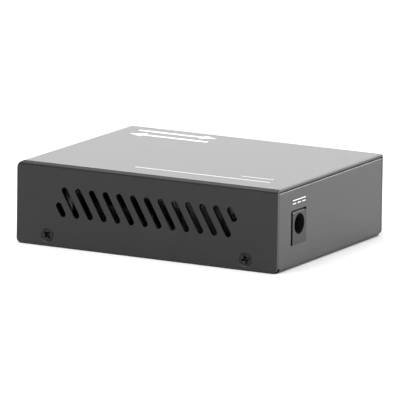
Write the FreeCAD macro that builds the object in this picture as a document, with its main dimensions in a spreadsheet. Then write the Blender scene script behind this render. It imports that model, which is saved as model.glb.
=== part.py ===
import FreeCAD, Part
import math
import os
from types import SimpleNamespace
import Sketcher
from FreeCAD import Placement, Rotation, Vector

# A fibre media converter: a folded steel tray and cover around a circuit board
# that carries a copper port, a fibre port, a mode switch, lamps and a power jack.
# X runs across, +Y is the rear panel with the power jack, +Z is up, and the
# origin is the middle of the underside. All lengths are in millimetres.

sizes = {
    # case
    "case_width": 73.0,
    "case_depth": 94.5,
    "case_height": 27.0,
    "sheet_gauge": 1.0,
    "fold_radius": 1.3,         # outside of the cover's long folds
    "lip_radius": 2.5,          # outside of the cover's rolled front edge
    "lip_height": 3.2,
    "lip_relief": 0.3,          # slit between the lip and each side wall
    "tray_front_radius": 1.5,
    "tray_rear_radius": 1.2,
    "front_foot_radius": 1.5,   # of the cover's walls
    "rear_foot_radius": 2.0,
    "tray_clearance": 0.15,     # between the tray and each side wall
    "top_clearance": 0.35,      # between a panel's edge and the cover
    "wall_lift": 0.1,           # the cover's walls stop short of the table
    "relief_width": 0.9,        # notch at each end of the rear bend
    "relief_beyond": 0.2,       # how far it goes up past the bend
    "edge_round": 0.3,          # coated cut edges that show
    # slanted vents
    "vent_count": 12,
    "vent_pitch": 5.0,
    "vent_width": 2.1,
    "vent_rise": 9.8,
    "vent_middle": 14.95,
    "vent_slant": 30.0,
    "short_vent_run": 2.95,
    # cover screws and what holds them
    "cover_screw_inset": 11.25,
    "cover_screw_height": 3.55,
    "cover_screw_length": 4.0,
    "cover_shank_diameter": 2.4,
    "flat_head_diameter": 4.4,
    "thread_clearance": 0.05,
    "head_clearance": 0.1,
    "cross_width": 0.65,
    "cross_depth": 0.7,
    "tab_width": 10.0,
    "tab_height": 7.2,
    "tab_bend_radius": 1.2,
    "collar_diameter": 3.6,
    "collar_length": 0.8,
    "ear_length": 17.0,
    "ear_drop": 7.7,
    "tongue_width": 12.0,
    "tongue_rise": 1.0,
    # board and its fastening
    "board_thickness": 1.6,
    "board_side_clearance": 0.6,
    "board_end_clearance": 0.5,
    "board_corner": 1.0,
    "shank_diameter": 2.9,
    "standoff_diameter": 5.0,
    "spigot_diameter": 4.2,
    "standoff_inset": 4.4,
    "front_standoff_setback": 14.0,
    "standoff_behind_port": 7.0,
    "screw_notch_clearance": 0.5,   # round each cover screw's end, in the board's edge
    "pan_head_diameter": 5.4,
    "pan_head_height": 1.9,
    "board_screw_length": 4.6,
    "seat_clearance": 0.05,
    # power jack
    "jack_width": 9.0,
    "jack_height": 10.7,
    "jack_depth": 14.4,
    "jack_inset": 14.95,        # the jack's middle from the side wall
    "jack_flange": 3.4,
    "jack_recess": 0.02,        # the jack's face behind the panel's
    "jack_edge": 0.45,          # slope along the top of the jack's face
    "jack_axis_height": 6.35,
    "jack_bore": 6.7,
    "jack_bore_depth": 10.5,
    "jack_pin": 2.0,
    "jack_pin_root": 2.6,       # the pin's shoulder, held in the moulding
    "jack_pin_recess": 2.4,
    "jack_near_gap": 1.25,
    "jack_far_gap": 0.05,
    "jack_top_gap": 0.5,
    # copper port
    "copper_width": 16.0,
    "copper_height": 13.4,
    "copper_depth": 18.0,
    "copper_margin": 1.7,
    "port_headroom": 2.55,      # from the port's top to the front panel's edge
    "copper_contact_pitch": 1.02,
    "plug_width": 11.9,
    "plug_height": 7.0,
    "plug_depth": 12.6,
    "shield_gauge": 0.3,
    "port_clearance": 0.2,
    # fibre port
    "fibre_width": 14.6,
    "fibre_height": 9.8,
    "fibre_depth": 47.5,
    "fibre_gap": 3.2,
    "cage_gauge": 0.3,
    "spring_rise": 0.5,
    # mode switch
    "switch_width": 8.8,
    "switch_height": 4.4,
    "switch_depth": 4.8,
    "switch_gap": 3.2,
    "switch_travel": 2.0,
    "switch_setback": 0.2,      # of its frame and the lamp holder from the board's edge
    "knob_width": 1.8,
    "knob_height": 1.7,
    "slide_clearance": 0.2,
    # lamps
    "lamp_diameter": 2.9,
    "lamp_pitch": 4.8,
    "lamp_low": 3.2,
    "lamp_gap": 2.2,
    "lamp_holder_depth": 5.5,
    # parts on the board
    "chip_width": 10.0,
    "chip_height": 1.4,
    "transformer_width": 9.0,
    "transformer_length": 15.0,
    "transformer_height": 5.6,
    "capacitor_diameter": 6.3,
    "capacitor_height": 7.2,
    "inductor_width": 7.2,
    "inductor_height": 4.2,
    "regulator_setback": 17.0,
    "part_spacing": 1.5,
}

doc = FreeCAD.newDocument("media_converter")
sheet = doc.addObject("Spreadsheet::Sheet", "Sizes")
for row, (alias, value) in enumerate(sizes.items(), start=1):
    sheet.set("A%d" % row, alias)
    sheet.set("B%d" % row, str(value))
    sheet.setAlias("B%d" % row, alias)
doc.recompute()


class Size:
    """A length that remembers the sheet formula it comes from."""

    def __init__(self, value, formula):
        self.value = float(value)
        self.formula = formula

    def __add__(self, other):
        other = as_size(other)
        return Size(self.value + other.value, "(%s + %s)" % (self.formula, other.formula))

    def __sub__(self, other):
        other = as_size(other)
        return Size(self.value - other.value, "(%s - %s)" % (self.formula, other.formula))

    def __mul__(self, other):
        other = as_size(other)
        return Size(self.value * other.value, "(%s * %s)" % (self.formula, other.formula))

    def __truediv__(self, other):
        other = as_size(other)
        return Size(self.value / other.value, "(%s / %s)" % (self.formula, other.formula))

    def __radd__(self, other):
        return as_size(other) + self

    def __rsub__(self, other):
        return as_size(other) - self

    def __rmul__(self, other):
        return as_size(other) * self

    def __neg__(self):
        return Size(-self.value, "(0 - %s)" % self.formula)


def as_size(number):
    return number if isinstance(number, Size) else Size(number, repr(float(number)))


def sine(angle):
    return Size(math.sin(math.radians(angle.value)), "sin(%s * 1 deg)" % angle.formula)


def cosine(angle):
    return Size(math.cos(math.radians(angle.value)), "cos(%s * 1 deg)" % angle.formula)


mm = SimpleNamespace(**{alias: Size(sheet.get(alias), "Sizes." + alias) for alias in sizes})
nodes = []                      # the sub-parts that are written out, in order

# Each plane's normal, as a sketch on it sees the frame's axis.
planes = {"XY": ("XY_Plane", 1), "XZ": ("XZ_Plane", -1), "YZ": ("YZ_Plane", 1)}


def bind(thing, name, amount):
    amount = as_size(amount)
    thing.setExpression(name, amount.formula)


def new_body(label, keep=True):
    body = doc.addObject("PartDesign::Body", label)
    body.Label = label
    if keep:
        nodes.append(body)
    return body


def place(thing, x, y, z, turn=0):
    """Sets a sub-part down at x, y, z, turned about Z by a number of degrees."""
    thing.Placement = Placement(Vector(0, 0, 0), Rotation(Vector(0, 0, 1), turn))
    bind(thing, "Placement.Base.x", x)
    bind(thing, "Placement.Base.y", y)
    bind(thing, "Placement.Base.z", z)


def new_sketch(body, name, plane, level=0):
    """A sketch parallel to an origin plane of the body, at a level along that axis."""
    role, sign = planes[plane]
    sketch = body.newObject("Sketcher::SketchObject", body.Label + "_" + name)
    support = [part for part in body.Origin.OriginFeatures if part.Role == role][0]
    sketch.AttachmentSupport = [(support, "")]
    sketch.MapMode = "FlatFace"
    bind(sketch, "AttachmentOffset.Base.z", as_size(level) * sign)
    return sketch


def hold(sketch, kind, *where, amount):
    """One dimension of a sketch, bound to its formula."""
    amount = as_size(amount)
    index = sketch.addConstraint(Sketcher.Constraint(kind, *where, amount.value))
    sketch.setExpression("Constraints[%d]" % index, amount.formula)


def toward(here, there):
    """The direction, along one axis, from one coordinate to another: -1, 0 or 1."""
    step = there.value - here.value
    return 0 if abs(step) < 1e-9 else math.copysign(1, step)


def outline_knots(points):
    """Where an outline's lines and arcs meet: (x, y, centre and turn of the arc that starts here)."""
    corners = [[as_size(number) for number in corner] for corner in points]
    knots = []
    for index, corner in enumerate(corners):
        x, y = corner[0], corner[1]
        if len(corner) == 2:
            knots.append((x, y, None))
            continue
        before, after = corners[index - 1], corners[(index + 1) % len(corners)]
        back_x, back_y = toward(x, before[0]), toward(y, before[1])
        on_x, on_y = toward(x, after[0]), toward(y, after[1])
        radius = corner[2]
        centre = Vector((x + radius * (back_x + on_x)).value, (y + radius * (back_y + on_y)).value, 0)
        turn = back_y * on_x - back_x * on_y
        knots.append((x + radius * back_x, y + radius * back_y, (centre, radius, turn)))
        knots.append((x + radius * on_x, y + radius * on_y, None))
    return knots


def draw_outline(sketch, points):
    """A closed outline. A corner (x, y, radius) is rounded: its two sides run along the axes."""
    knots = outline_knots(points)
    count = len(knots)
    first = sketch.GeometryCount
    starts = []                 # which end of each piece lies on its knot
    for index, (x, y, bend) in enumerate(knots):
        end_x, end_y = knots[(index + 1) % count][:2]
        start, end = Vector(x.value, y.value, 0), Vector(end_x.value, end_y.value, 0)
        if bend is None:
            sketch.addGeometry(Part.LineSegment(start, end), False)
            starts.append(1)
            continue
        centre, radius, turn = bend
        sweep = [start, end] if turn > 0 else [end, start]
        angles = [math.atan2(point.y - centre.y, point.x - centre.x) for point in sweep]
        circle = Part.Circle(centre, Vector(0, 0, 1), radius.value)
        sketch.addGeometry(Part.ArcOfCircle(circle, angles[0], angles[1]), False)
        starts.append(1 if turn > 0 else 2)
    for index in range(count):
        following = (index + 1) % count
        sketch.addConstraint(Sketcher.Constraint("Coincident", first + index, 3 - starts[index],
                                                 first + following, starts[following]))
    for index, (x, y, bend) in enumerate(knots):
        hold(sketch, "DistanceX", first + index, starts[index], amount=x)
        hold(sketch, "DistanceY", first + index, starts[index], amount=y)
        if bend:
            hold(sketch, "Radius", first + index, amount=bend[1])


def draw_circle(sketch, x, y, diameter):
    x, y, radius = as_size(x), as_size(y), as_size(diameter) / 2
    index = sketch.addGeometry(Part.Circle(Vector(x.value, y.value, 0), Vector(0, 0, 1), radius.value), False)
    hold(sketch, "DistanceX", index, 3, amount=x)
    hold(sketch, "DistanceY", index, 3, amount=y)
    hold(sketch, "Radius", index, amount=radius)


def draw_slot(sketch, start, end, width):
    """A round-ended slot between two centres."""
    (x1, y1), (x2, y2) = [(as_size(x), as_size(y)) for x, y in (start, end)]
    radius = as_size(width) / 2
    along = math.atan2(y2.value - y1.value, x2.value - x1.value)
    side = Vector(-math.sin(along), math.cos(along), 0) * radius.value
    first, last = Vector(x1.value, y1.value, 0), Vector(x2.value, y2.value, 0)
    up = Vector(0, 0, 1)
    quarter = math.pi / 2
    base = sketch.GeometryCount
    sketch.addGeometry(Part.ArcOfCircle(Part.Circle(first, up, radius.value),
                                        along + quarter, along + 3 * quarter), False)
    sketch.addGeometry(Part.LineSegment(first - side, last - side), False)
    sketch.addGeometry(Part.ArcOfCircle(Part.Circle(last, up, radius.value),
                                        along - quarter, along + quarter), False)
    sketch.addGeometry(Part.LineSegment(last + side, first + side), False)
    for one, one_end, two, two_end in ((0, 2, 1, 1), (1, 2, 2, 1), (2, 2, 3, 1), (3, 2, 0, 1)):
        sketch.addConstraint(Sketcher.Constraint("Tangent", base + one, one_end, base + two, two_end))
    hold(sketch, "DistanceX", base, 3, amount=x1)
    hold(sketch, "DistanceY", base, 3, amount=y1)
    hold(sketch, "DistanceX", base + 2, 3, amount=x2)
    hold(sketch, "DistanceY", base + 2, 3, amount=y2)
    hold(sketch, "Radius", base, amount=radius)


def extrude(body, sketch, low, high, cut):
    """Pads a mid-plane sketch, or pockets it, from low to high."""
    kind, word = ("PartDesign::Pocket", "_cut") if cut else ("PartDesign::Pad", "_pad")
    feature = body.newObject(kind, sketch.Name + word)
    feature.Profile = sketch
    feature.SideType = "Symmetric"
    bind(feature, "Length", as_size(high) - low)
    sketch.Visibility = False
    doc.recompute()
    return feature


def prism(body, name, plane, points, low, high, cut=False):
    sketch = new_sketch(body, name, plane, (as_size(low) + high) / 2)
    draw_outline(sketch, points)
    return extrude(body, sketch, low, high, cut)


def rectangle(x1, x2, y1, y2):
    return [(x1, y1), (x2, y1), (x2, y2), (x1, y2)]


def block(body, name, x, y, z, cut=False):
    """A box from three (low, high) spans."""
    return prism(body, name, "XY", rectangle(x[0], x[1], y[0], y[1]), z[0], z[1], cut)


def discs(body, name, plane, circles, low, high, cut=False):
    """Round bosses or holes: circles holds (x, y, diameter)."""
    sketch = new_sketch(body, name, plane, (as_size(low) + high) / 2)
    for x, y, diameter in circles:
        draw_circle(sketch, x, y, diameter)
    return extrude(body, sketch, low, high, cut)


def turned(body, name, points):
    """A solid of revolution about Z from a half outline of (radius, height)."""
    sketch = new_sketch(body, name, "XZ")
    draw_outline(sketch, points)
    feature = body.newObject("PartDesign::Revolution", sketch.Name + "_turn")
    feature.Profile = sketch
    feature.ReferenceAxis = (sketch, ["V_Axis"])
    feature.Angle = 360
    sketch.Visibility = False
    doc.recompute()
    return feature


def edges_along(feature, axis, spots):
    """Names of the straight edges along an axis that cross the given spots."""
    others = [index for index in range(3) if index != "XYZ".index(axis)]
    found = []
    for index, edge in enumerate(feature.Shape.Edges, start=1):
        if edge.Curve.TypeId != "Part::GeomLine":
            continue
        direction = edge.tangentAt(edge.FirstParameter)
        if abs(abs(direction["XYZ".index(axis)]) - 1) > 1e-6:
            continue
        middle = edge.CenterOfMass
        for spot in spots:
            near = [abs(middle[other] - as_size(value).value) for other, value in zip(others, spot)]
            if max(near) < 1e-3:
                found.append("Edge%d" % index)
    return found


def round_edges(body, name, radius, axis, spots):
    """Rounds the edges along an axis at the given (first, second) cross positions."""
    base = body.Tip
    names = edges_along(base, axis, spots)
    if not names:
        raise ValueError("no edge for " + name)
    feature = body.newObject("PartDesign::Fillet", body.Label + "_" + name)
    feature.Base = (base, names)
    bind(feature, "Radius", radius)
    doc.recompute()
    return feature


def bevel(body, name, size, axis, level):
    """Chamfers every edge that lies at one level of an axis."""
    base = body.Tip
    level = as_size(level).value
    names = []
    for index, edge in enumerate(base.Shape.Edges, start=1):
        low, high = getattr(edge.BoundBox, axis + "Min"), getattr(edge.BoundBox, axis + "Max")
        if abs(low - level) < 1e-4 and abs(high - level) < 1e-4:
            names.append("Edge%d" % index)
    feature = body.newObject("PartDesign::Chamfer", body.Label + "_" + name)
    feature.Base = (base, names)
    bind(feature, "Size", size)
    doc.recompute()
    return feature


def copies(label, shape, placements, keep=True):
    """Like pieces as one node: a compound of the shape at each placement."""
    feature = doc.addObject("Part::Feature", label)
    feature.Label = label
    feature.Shape = Part.makeCompound([shape.transformed(spot.toMatrix()) for spot in placements])
    if keep:
        nodes.append(feature)
    return feature


def spot(x, y, z, rotation=Rotation()):
    return Placement(Vector(as_size(x).value, as_size(y).value, as_size(z).value), rotation)


# Places that several sub-parts share.
half_width = mm.case_width / 2
front = -(mm.case_depth / 2)
rear = mm.case_depth / 2
top_under = mm.case_height - mm.sheet_gauge
wall_inside = half_width - mm.sheet_gauge
tray_side = wall_inside - mm.tray_clearance
tab_inside = tray_side - mm.sheet_gauge
front_inside = front + mm.sheet_gauge
rear_inside = rear - mm.sheet_gauge
lip_low = mm.case_height - mm.lip_height
front_panel_top = lip_low - mm.top_clearance
rear_panel_top = top_under - mm.top_clearance
board_top = front_panel_top - mm.port_headroom - mm.copper_height
board_low = board_top - mm.board_thickness
standoff_height = board_low - mm.sheet_gauge
board_side = tab_inside - mm.board_side_clearance
board_front = front_inside + mm.board_end_clearance
board_rear = rear_inside - mm.board_end_clearance
screw_front = front + mm.cover_screw_inset
screw_rear = rear - mm.cover_screw_inset

# The ports stand in a row along the front, from the +X side.
copper_x = board_side - mm.copper_margin - mm.copper_width / 2
fibre_x = copper_x - mm.copper_width / 2 - mm.fibre_gap - mm.fibre_width / 2
switch_x = fibre_x - mm.fibre_width / 2 - mm.switch_gap - mm.switch_width / 2
holder_width = mm.lamp_pitch * 2
lamp_x = switch_x - mm.switch_width / 2 - mm.lamp_gap - holder_width / 2
lamp_spots = [(lamp_x + mm.lamp_pitch * across, board_top + mm.lamp_low + mm.lamp_pitch * row)
              for across in (-0.5, 0.5) for row in (0, 1)]
jack_x = half_width - mm.jack_inset
jack_axis = board_top + mm.jack_axis_height
knob_middle = board_top + mm.switch_height / 2
knob_out = mm.knob_width / 2

switch_face = board_front + mm.switch_setback
terminal_pitch = 2.5
terminal_y = switch_face + mm.switch_depth - 2.0
shield_post_y = as_size(6.2)

standoff_spots = [
    (-(board_side - mm.standoff_inset), board_front + mm.front_standoff_setback),
    (board_side - mm.standoff_inset, board_front + mm.copper_depth + mm.standoff_behind_port),
    (-(board_side - mm.standoff_inset), board_rear - mm.standoff_inset),
    (board_side - mm.standoff_inset, board_rear - mm.standoff_inset),
]


def vent_end(middle, share):
    """A point on the centreline of the vent at middle: share is -1 at its top, 1 at its foot."""
    reach = (mm.vent_rise - mm.vent_width) / 2
    lean = sine(mm.vent_slant) / cosine(mm.vent_slant)
    return middle + reach * lean * share, mm.vent_middle - reach * share


def make_cover():
    """The top, its two long walls and a rolled front lip, folded from one sheet."""
    body = new_body("top_cover")
    inner_fold = mm.fold_radius - mm.sheet_gauge
    walls = [(-half_width, mm.wall_lift), (-wall_inside, mm.wall_lift), (-wall_inside, top_under, inner_fold),
             (wall_inside, top_under, inner_fold), (wall_inside, mm.wall_lift), (half_width, mm.wall_lift),
             (half_width, mm.case_height, mm.fold_radius), (-half_width, mm.case_height, mm.fold_radius)]
    prism(body, "walls", "XZ", walls, front, rear)
    round_edges(body, "rear_end", mm.edge_round, "X", [(rear, mm.case_height)])
    # The lip starts as a solid bar, and both faces of its bend are cut from it.
    bend_back = front + mm.lip_radius
    prism(body, "lip_bar", "YZ", rectangle(front, bend_back, lip_low, top_under), -wall_inside, wall_inside)
    hollow = [(front_inside, lip_low - 1), (bend_back + 1, lip_low - 1), (bend_back + 1, top_under),
              (front_inside, top_under, mm.lip_radius - mm.sheet_gauge)]
    prism(body, "lip_inside", "YZ", hollow, -wall_inside, wall_inside, cut=True)
    cut_corner(body, "lip_outside", front, mm.case_height, mm.lip_radius, (1, -1))
    for word, low, high in (("left", -wall_inside, mm.lip_relief - wall_inside),
                            ("right", wall_inside - mm.lip_relief, wall_inside)):
        block(body, word + "_relief", (low, high), (front - 1, bend_back),
              (lip_low - 1, mm.case_height + 1), cut=True)

    cut_corner(body, "front_feet", front, mm.wall_lift, mm.front_foot_radius, (1, 1))
    cut_corner(body, "rear_feet", rear, mm.wall_lift, mm.rear_foot_radius, (-1, 1))

    vents = new_sketch(body, "vent", "YZ")
    first = -(mm.vent_pitch * (mm.vent_count - 1) / 2)
    draw_slot(vents, vent_end(first, -1), vent_end(first, 1), mm.vent_width)
    vent = extrude(body, vents, -half_width - 1, half_width + 1, cut=True)
    row = body.newObject("PartDesign::LinearPattern", "top_cover_vent_row")
    row.Originals = [vent]
    row.Direction = (vents, ["H_Axis"])
    bind(row, "Length", mm.vent_pitch * (mm.vent_count - 1))
    bind(row, "Occurrences", mm.vent_count)
    body.Tip = row
    doc.recompute()
    # A short slot closes each end of the row: the lower half in front, the upper half behind.
    run = (mm.vent_rise - mm.vent_width) / cosine(mm.vent_slant)
    inner = 1 - mm.short_vent_run * 2 / run
    ends = new_sketch(body, "short_vents", "YZ")
    before, after = first - mm.vent_pitch, -first + mm.vent_pitch
    draw_slot(ends, vent_end(before, inner), vent_end(before, 1), mm.vent_width)
    draw_slot(ends, vent_end(after, -1), vent_end(after, -inner), mm.vent_width)
    extrude(body, ends, -half_width - 1, half_width + 1, cut=True)

    for side in (-1, 1):
        for end, y in (("front", screw_front), ("rear", screw_rear)):
            countersink(body, "%s_sink_%s" % (end, "left" if side < 0 else "right"), side, y)
    return body


def cut_corner(body, name, y, z, radius, inward):
    """Cuts a corner of the side view to a radius, right across; inward points into the metal."""
    way_y, way_z = inward
    y, z = as_size(y), as_size(z)
    beyond_y, beyond_z = y - way_y, z - way_z
    corners = [(beyond_y, beyond_z), (beyond_y, z + radius * way_z), (y, z + radius * way_z),
               (y + radius * way_y, z), (y + radius * way_y, beyond_z)]
    scrap = new_sketch(body, name, "YZ")
    knots = [Vector(across.value, up.value, 0) for across, up in corners]
    centre = Vector(knots[3].x, knots[2].y, 0)
    circle = Part.Circle(centre, Vector(0, 0, 1), radius.value)
    sweep = [knots[2], knots[3]] if way_y * way_z > 0 else [knots[3], knots[2]]
    angles = [math.atan2(knot.y - centre.y, knot.x - centre.x) for knot in sweep]
    for index in range(5):
        if index == 2:
            scrap.addGeometry(Part.ArcOfCircle(circle, *angles), False)
        else:
            scrap.addGeometry(Part.LineSegment(knots[index], knots[(index + 1) % 5]), False)
    starts = [1, 1, 1 if way_y * way_z > 0 else 2, 1, 1]
    for index in range(5):
        following = (index + 1) % 5
        scrap.addConstraint(Sketcher.Constraint("Coincident", index, 3 - starts[index], following,
                                                starts[following]))
    for index, (across, up) in enumerate(corners):
        hold(scrap, "DistanceX", index, starts[index], amount=across)
        hold(scrap, "DistanceY", index, starts[index], amount=up)
    hold(scrap, "Radius", 2, amount=radius)
    extrude(body, scrap, -half_width - 1, half_width + 1, cut=True)


def countersink(body, name, side, y):
    """A cone through one wall, wide enough for a flat screw head."""
    mouth = mm.flat_head_diameter / 2 + mm.head_clearance
    throat = mouth - mm.sheet_gauge
    sketch = new_sketch(body, name, "XY", mm.cover_screw_height)
    outside = half_width * side
    inside = wall_inside * side
    draw_outline(sketch, [(outside, y), (outside, y + mouth), (inside, y + throat), (inside, y)])
    groove = body.newObject("PartDesign::Groove", body.Label + "_" + name)
    groove.Profile = sketch
    groove.ReferenceAxis = (sketch, ["Edge4"])
    groove.Angle = 360
    sketch.Visibility = False
    doc.recompute()


def make_tray():
    """The floor, front and rear panels, with tabs, ears and tongues that guide the cover."""
    body = new_body("base_tray")
    gauge = mm.sheet_gauge
    section = [(front, 0, mm.tray_front_radius), (rear, 0, mm.tray_rear_radius),
               (rear, rear_panel_top, mm.edge_round), (rear_inside, rear_panel_top),
               (rear_inside, gauge, mm.tray_rear_radius - gauge),
               (front_inside, gauge, mm.tray_front_radius - gauge),
               (front_inside, front_panel_top), (front, front_panel_top)]
    prism(body, "section", "YZ", section, -tray_side, tray_side)

    for side, word in ((-1, "left"), (1, "right")):
        outer, inner = tray_side * side, tab_inside * side
        for end, y in (("front", screw_front), ("rear", screw_rear)):
            name = "%s_%s_tab" % (end, word)
            span = (y - mm.tab_width / 2, y + mm.tab_width / 2)
            block(body, name, (inner, outer), span, (mm.sheet_gauge / 2, mm.tab_height))
            round_edges(body, name + "_corners", mm.tab_bend_radius, "X",
                        [(span[0], mm.tab_height), (span[1], mm.tab_height)])
            collar_end = inner - mm.collar_length * side
            discs(body, name + "_collar", "YZ", [(y, mm.cover_screw_height, mm.collar_diameter)],
                  collar_end, inner)
            bore = mm.cover_shank_diameter + mm.thread_clearance * 2
            discs(body, name + "_bore", "YZ", [(y, mm.cover_screw_height, bore)],
                  collar_end - side, outer + side, cut=True)
        ear = (rear_inside - mm.ear_length, rear_inside)
        block(body, word + "_ear", (inner, outer), ear, (rear_panel_top - mm.ear_drop, rear_panel_top))
        notch = (tray_side - mm.relief_width) * side
        block(body, word + "_bend_relief", (notch, outer + side), (rear - mm.tray_rear_radius, rear + 1),
              (-1, mm.tray_rear_radius + mm.relief_beyond), cut=True)
        tongue_x = (tray_side - mm.tongue_width) * side
        behind = front_inside + mm.seat_clearance
        crook = front_panel_top - mm.sheet_gauge / 2
        tongue = [(front_inside, crook - mm.sheet_gauge * 2), (front_inside, crook),
                  (behind, front_panel_top), (behind, front_panel_top + mm.tongue_rise),
                  (behind + mm.sheet_gauge, front_panel_top + mm.tongue_rise),
                  (behind + mm.sheet_gauge, crook - mm.sheet_gauge)]
        prism(body, word + "_tongue", "YZ", tongue, tongue_x - mm.tongue_width / 2,
              tongue_x + mm.tongue_width / 2)
    cut_panels(body)
    holes = [(x, y, mm.spigot_diameter + mm.seat_clearance * 2) for x, y in standoff_spots]
    discs(body, "standoff_holes", "XY", holes, -1, mm.sheet_gauge + 1, cut=True)
    return body


def cut_panels(body):
    """The openings for the ports, the switch and lamps in front, and the power jack behind."""
    gap = mm.port_clearance
    jack_left = jack_x - mm.jack_width / 2 - mm.jack_far_gap
    jack_right = jack_x + mm.jack_width / 2 + mm.jack_near_gap
    jack_high = board_top + mm.jack_height + mm.jack_top_gap
    jack_hole = rectangle(jack_left, jack_right, board_top - mm.seat_clearance, jack_high)
    prism(body, "jack_opening", "XZ", jack_hole, rear_inside - 1, rear + 1, cut=True)

    through = (front - 1, front_inside + 1)
    half = mm.copper_width / 2 + gap
    copper = rectangle(copper_x - half, copper_x + half, board_top - mm.seat_clearance,
                       board_top + mm.copper_height + gap)
    prism(body, "copper_opening", "XZ", copper, *through, cut=True)
    half = mm.fibre_width / 2 + mm.spring_rise + gap
    fibre = rectangle(fibre_x - half, fibre_x + half, board_top - mm.spring_rise,
                      board_top + mm.fibre_height + mm.spring_rise + gap)
    prism(body, "fibre_opening", "XZ", fibre, *through, cut=True)
    half = knob_out + gap
    height = mm.knob_height / 2 + gap
    slot = rectangle(switch_x - mm.switch_travel / 2 - half, switch_x + mm.switch_travel / 2 + half,
                     knob_middle - height, knob_middle + height)
    prism(body, "switch_opening", "XZ", slot, *through, cut=True)
    lamps = [(x, z, mm.lamp_diameter + gap * 2) for x, z in lamp_spots]
    discs(body, "lamp_openings", "XZ", lamps, *through, cut=True)


def cross(body, name, top, reach):
    """A cross recess sunk from a screw head's top."""
    arm = mm.cross_width / 2
    outline = [(-reach, -arm), (-arm, -arm), (-arm, -reach), (arm, -reach), (arm, -arm), (reach, -arm),
               (reach, arm), (arm, arm), (arm, reach), (-arm, reach), (-arm, arm), (-reach, arm)]
    prism(body, name, "XY", outline, as_size(top) - mm.cross_depth, as_size(top) + 1, cut=True)


def make_cover_screws():
    """Four flat-head screws through the cover's walls, each stopped at its own turn."""
    screw = new_body("cover_screw_pattern", keep=False)
    head = mm.flat_head_diameter / 2
    shank = mm.cover_shank_diameter / 2
    tip = -mm.cover_screw_length
    half = [(0, tip), (shank, tip), (shank, shank - head), (head, 0), (0, 0)]
    turned(screw, "shape", half)
    cross(screw, "recess", 0, mm.flat_head_diameter * 0.3)
    spots = []
    turns = {(1, -1): 45, (1, 1): 16, (-1, -1): 70, (-1, 1): 24}
    for (side, end), turn in turns.items():
        x = (half_width - mm.seat_clearance) * side
        y = screw_rear if end > 0 else screw_front
        outward = Rotation(Vector(0, 1, 0), 90 * side)
        spots.append(spot(x, y, mm.cover_screw_height, outward * Rotation(Vector(0, 0, 1), turn)))
    copies("cover_screws", screw.Shape, spots)


def make_board_fixings():
    """The clinched standoffs in the floor and the screws that hold the board on them."""
    standoff = new_body("standoff_pattern", keep=False)
    post = mm.standoff_diameter / 2
    spigot = mm.spigot_diameter / 2
    bore = mm.shank_diameter / 2 + mm.thread_clearance
    foot = -(mm.sheet_gauge - mm.seat_clearance)
    half = [(bore, foot), (spigot, foot), (spigot, 0), (post, 0), (post, standoff_height),
            (bore, standoff_height)]
    turned(standoff, "shape", half)
    copies("board_standoffs", standoff.Shape, [spot(x, y, mm.sheet_gauge) for x, y in standoff_spots])

    screw = new_body("board_screw_pattern", keep=False)
    shank = mm.shank_diameter / 2
    head = mm.pan_head_diameter / 2
    rise = mm.pan_head_height
    half = [(0, -mm.board_screw_length), (shank, -mm.board_screw_length), (shank, 0), (head, 0),
            (head, rise * 0.6), (head * 0.8, rise), (0, rise)]
    turned(screw, "shape", half)
    cross(screw, "recess", rise, mm.pan_head_diameter * 0.28)
    turns = (20, 65, 5, 50)
    spots = [spot(x, y, board_top, Rotation(Vector(0, 0, 1), turn))
             for (x, y), turn in zip(standoff_spots, turns)]
    copies("board_screws", screw.Shape, spots)


def make_board():
    """The circuit board, with its screw holes and the slots for the jack's blades."""
    body = new_body("circuit_board")
    block(body, "outline", (-board_side, board_side), (board_front, board_rear), (board_low, board_top))
    corners = [(-board_side, board_front), (board_side, board_front), (-board_side, board_rear),
               (board_side, board_rear)]
    round_edges(body, "corners", mm.board_corner, "Z", corners)
    # Notches keep the board's edge off the cover screws' ends.
    deep = half_width - mm.seat_clearance - mm.cover_screw_length - mm.screw_notch_clearance
    half_notch = mm.collar_diameter / 2 + mm.screw_notch_clearance
    notches = new_sketch(body, "screw_notches", "XY", (board_low + board_top) / 2)
    for y in (screw_front, screw_rear):
        draw_outline(notches, rectangle(deep, board_side + 1, y - half_notch, y + half_notch))
        draw_outline(notches, rectangle(-board_side - 1, -deep, y - half_notch, y + half_notch))
    extrude(body, notches, board_low - 1, board_top + 1, cut=True)
    holes = [(x, y, mm.shank_diameter + mm.port_clearance) for x, y in standoff_spots]
    discs(body, "screw_holes", "XY", holes, board_low - 1, board_top + 1, cut=True)
    slots = new_sketch(body, "blade_slots", "XY", (board_low + board_top) / 2)
    for x, y, length in blade_spots():
        draw_slot(slots, (x - length / 2, y), (x + length / 2, y), 1.1)
    extrude(body, slots, board_low - 1, board_top + 1, cut=True)
    # Solder fills the pin holes, so each is as square as its pin: x, y and half its sides.
    pins = [(x, y, 0.25, 0.25) for x, y in copper_tail_spots()]
    post_x = mm.copper_width / 2 - mm.shield_gauge / 2
    pins += [(copper_x + post_x * way, front + shield_post_y, 0.2, 0.75) for way in (-1, 1)]
    pins += [(fibre_x + x, front + y, 0.2, 0.45) for x, y in cage_pin_spots()]
    pins += [(switch_x + terminal_pitch * way, terminal_y, 0.45, 0.25) for way in (-1, 0, 1)]
    holes = new_sketch(body, "pin_holes", "XY", (board_low + board_top) / 2)
    for x, y, across, along in pins:
        draw_outline(holes, rectangle(x - across, x + across, y - along, y + along))
    extrude(body, holes, board_low - 1, board_top + 1, cut=True)
    return body


def blade_spots():
    """Where the jack's two blades pass through the board: x, y and the slot's length."""
    face = rear - mm.jack_recess
    return [(jack_x, face - mm.jack_depth + 0.6, 2.4), (jack_x, face - mm.jack_depth + 6.6, 2.4)]


def copper_tail_spots():
    """The copper port's eight tails, in two rows."""
    back = front + mm.copper_depth - 2.6
    return [(copper_x + mm.copper_contact_pitch * (index - 3.5), back + (1.1 if index % 2 else -1.1))
            for index in range(8)]


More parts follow.
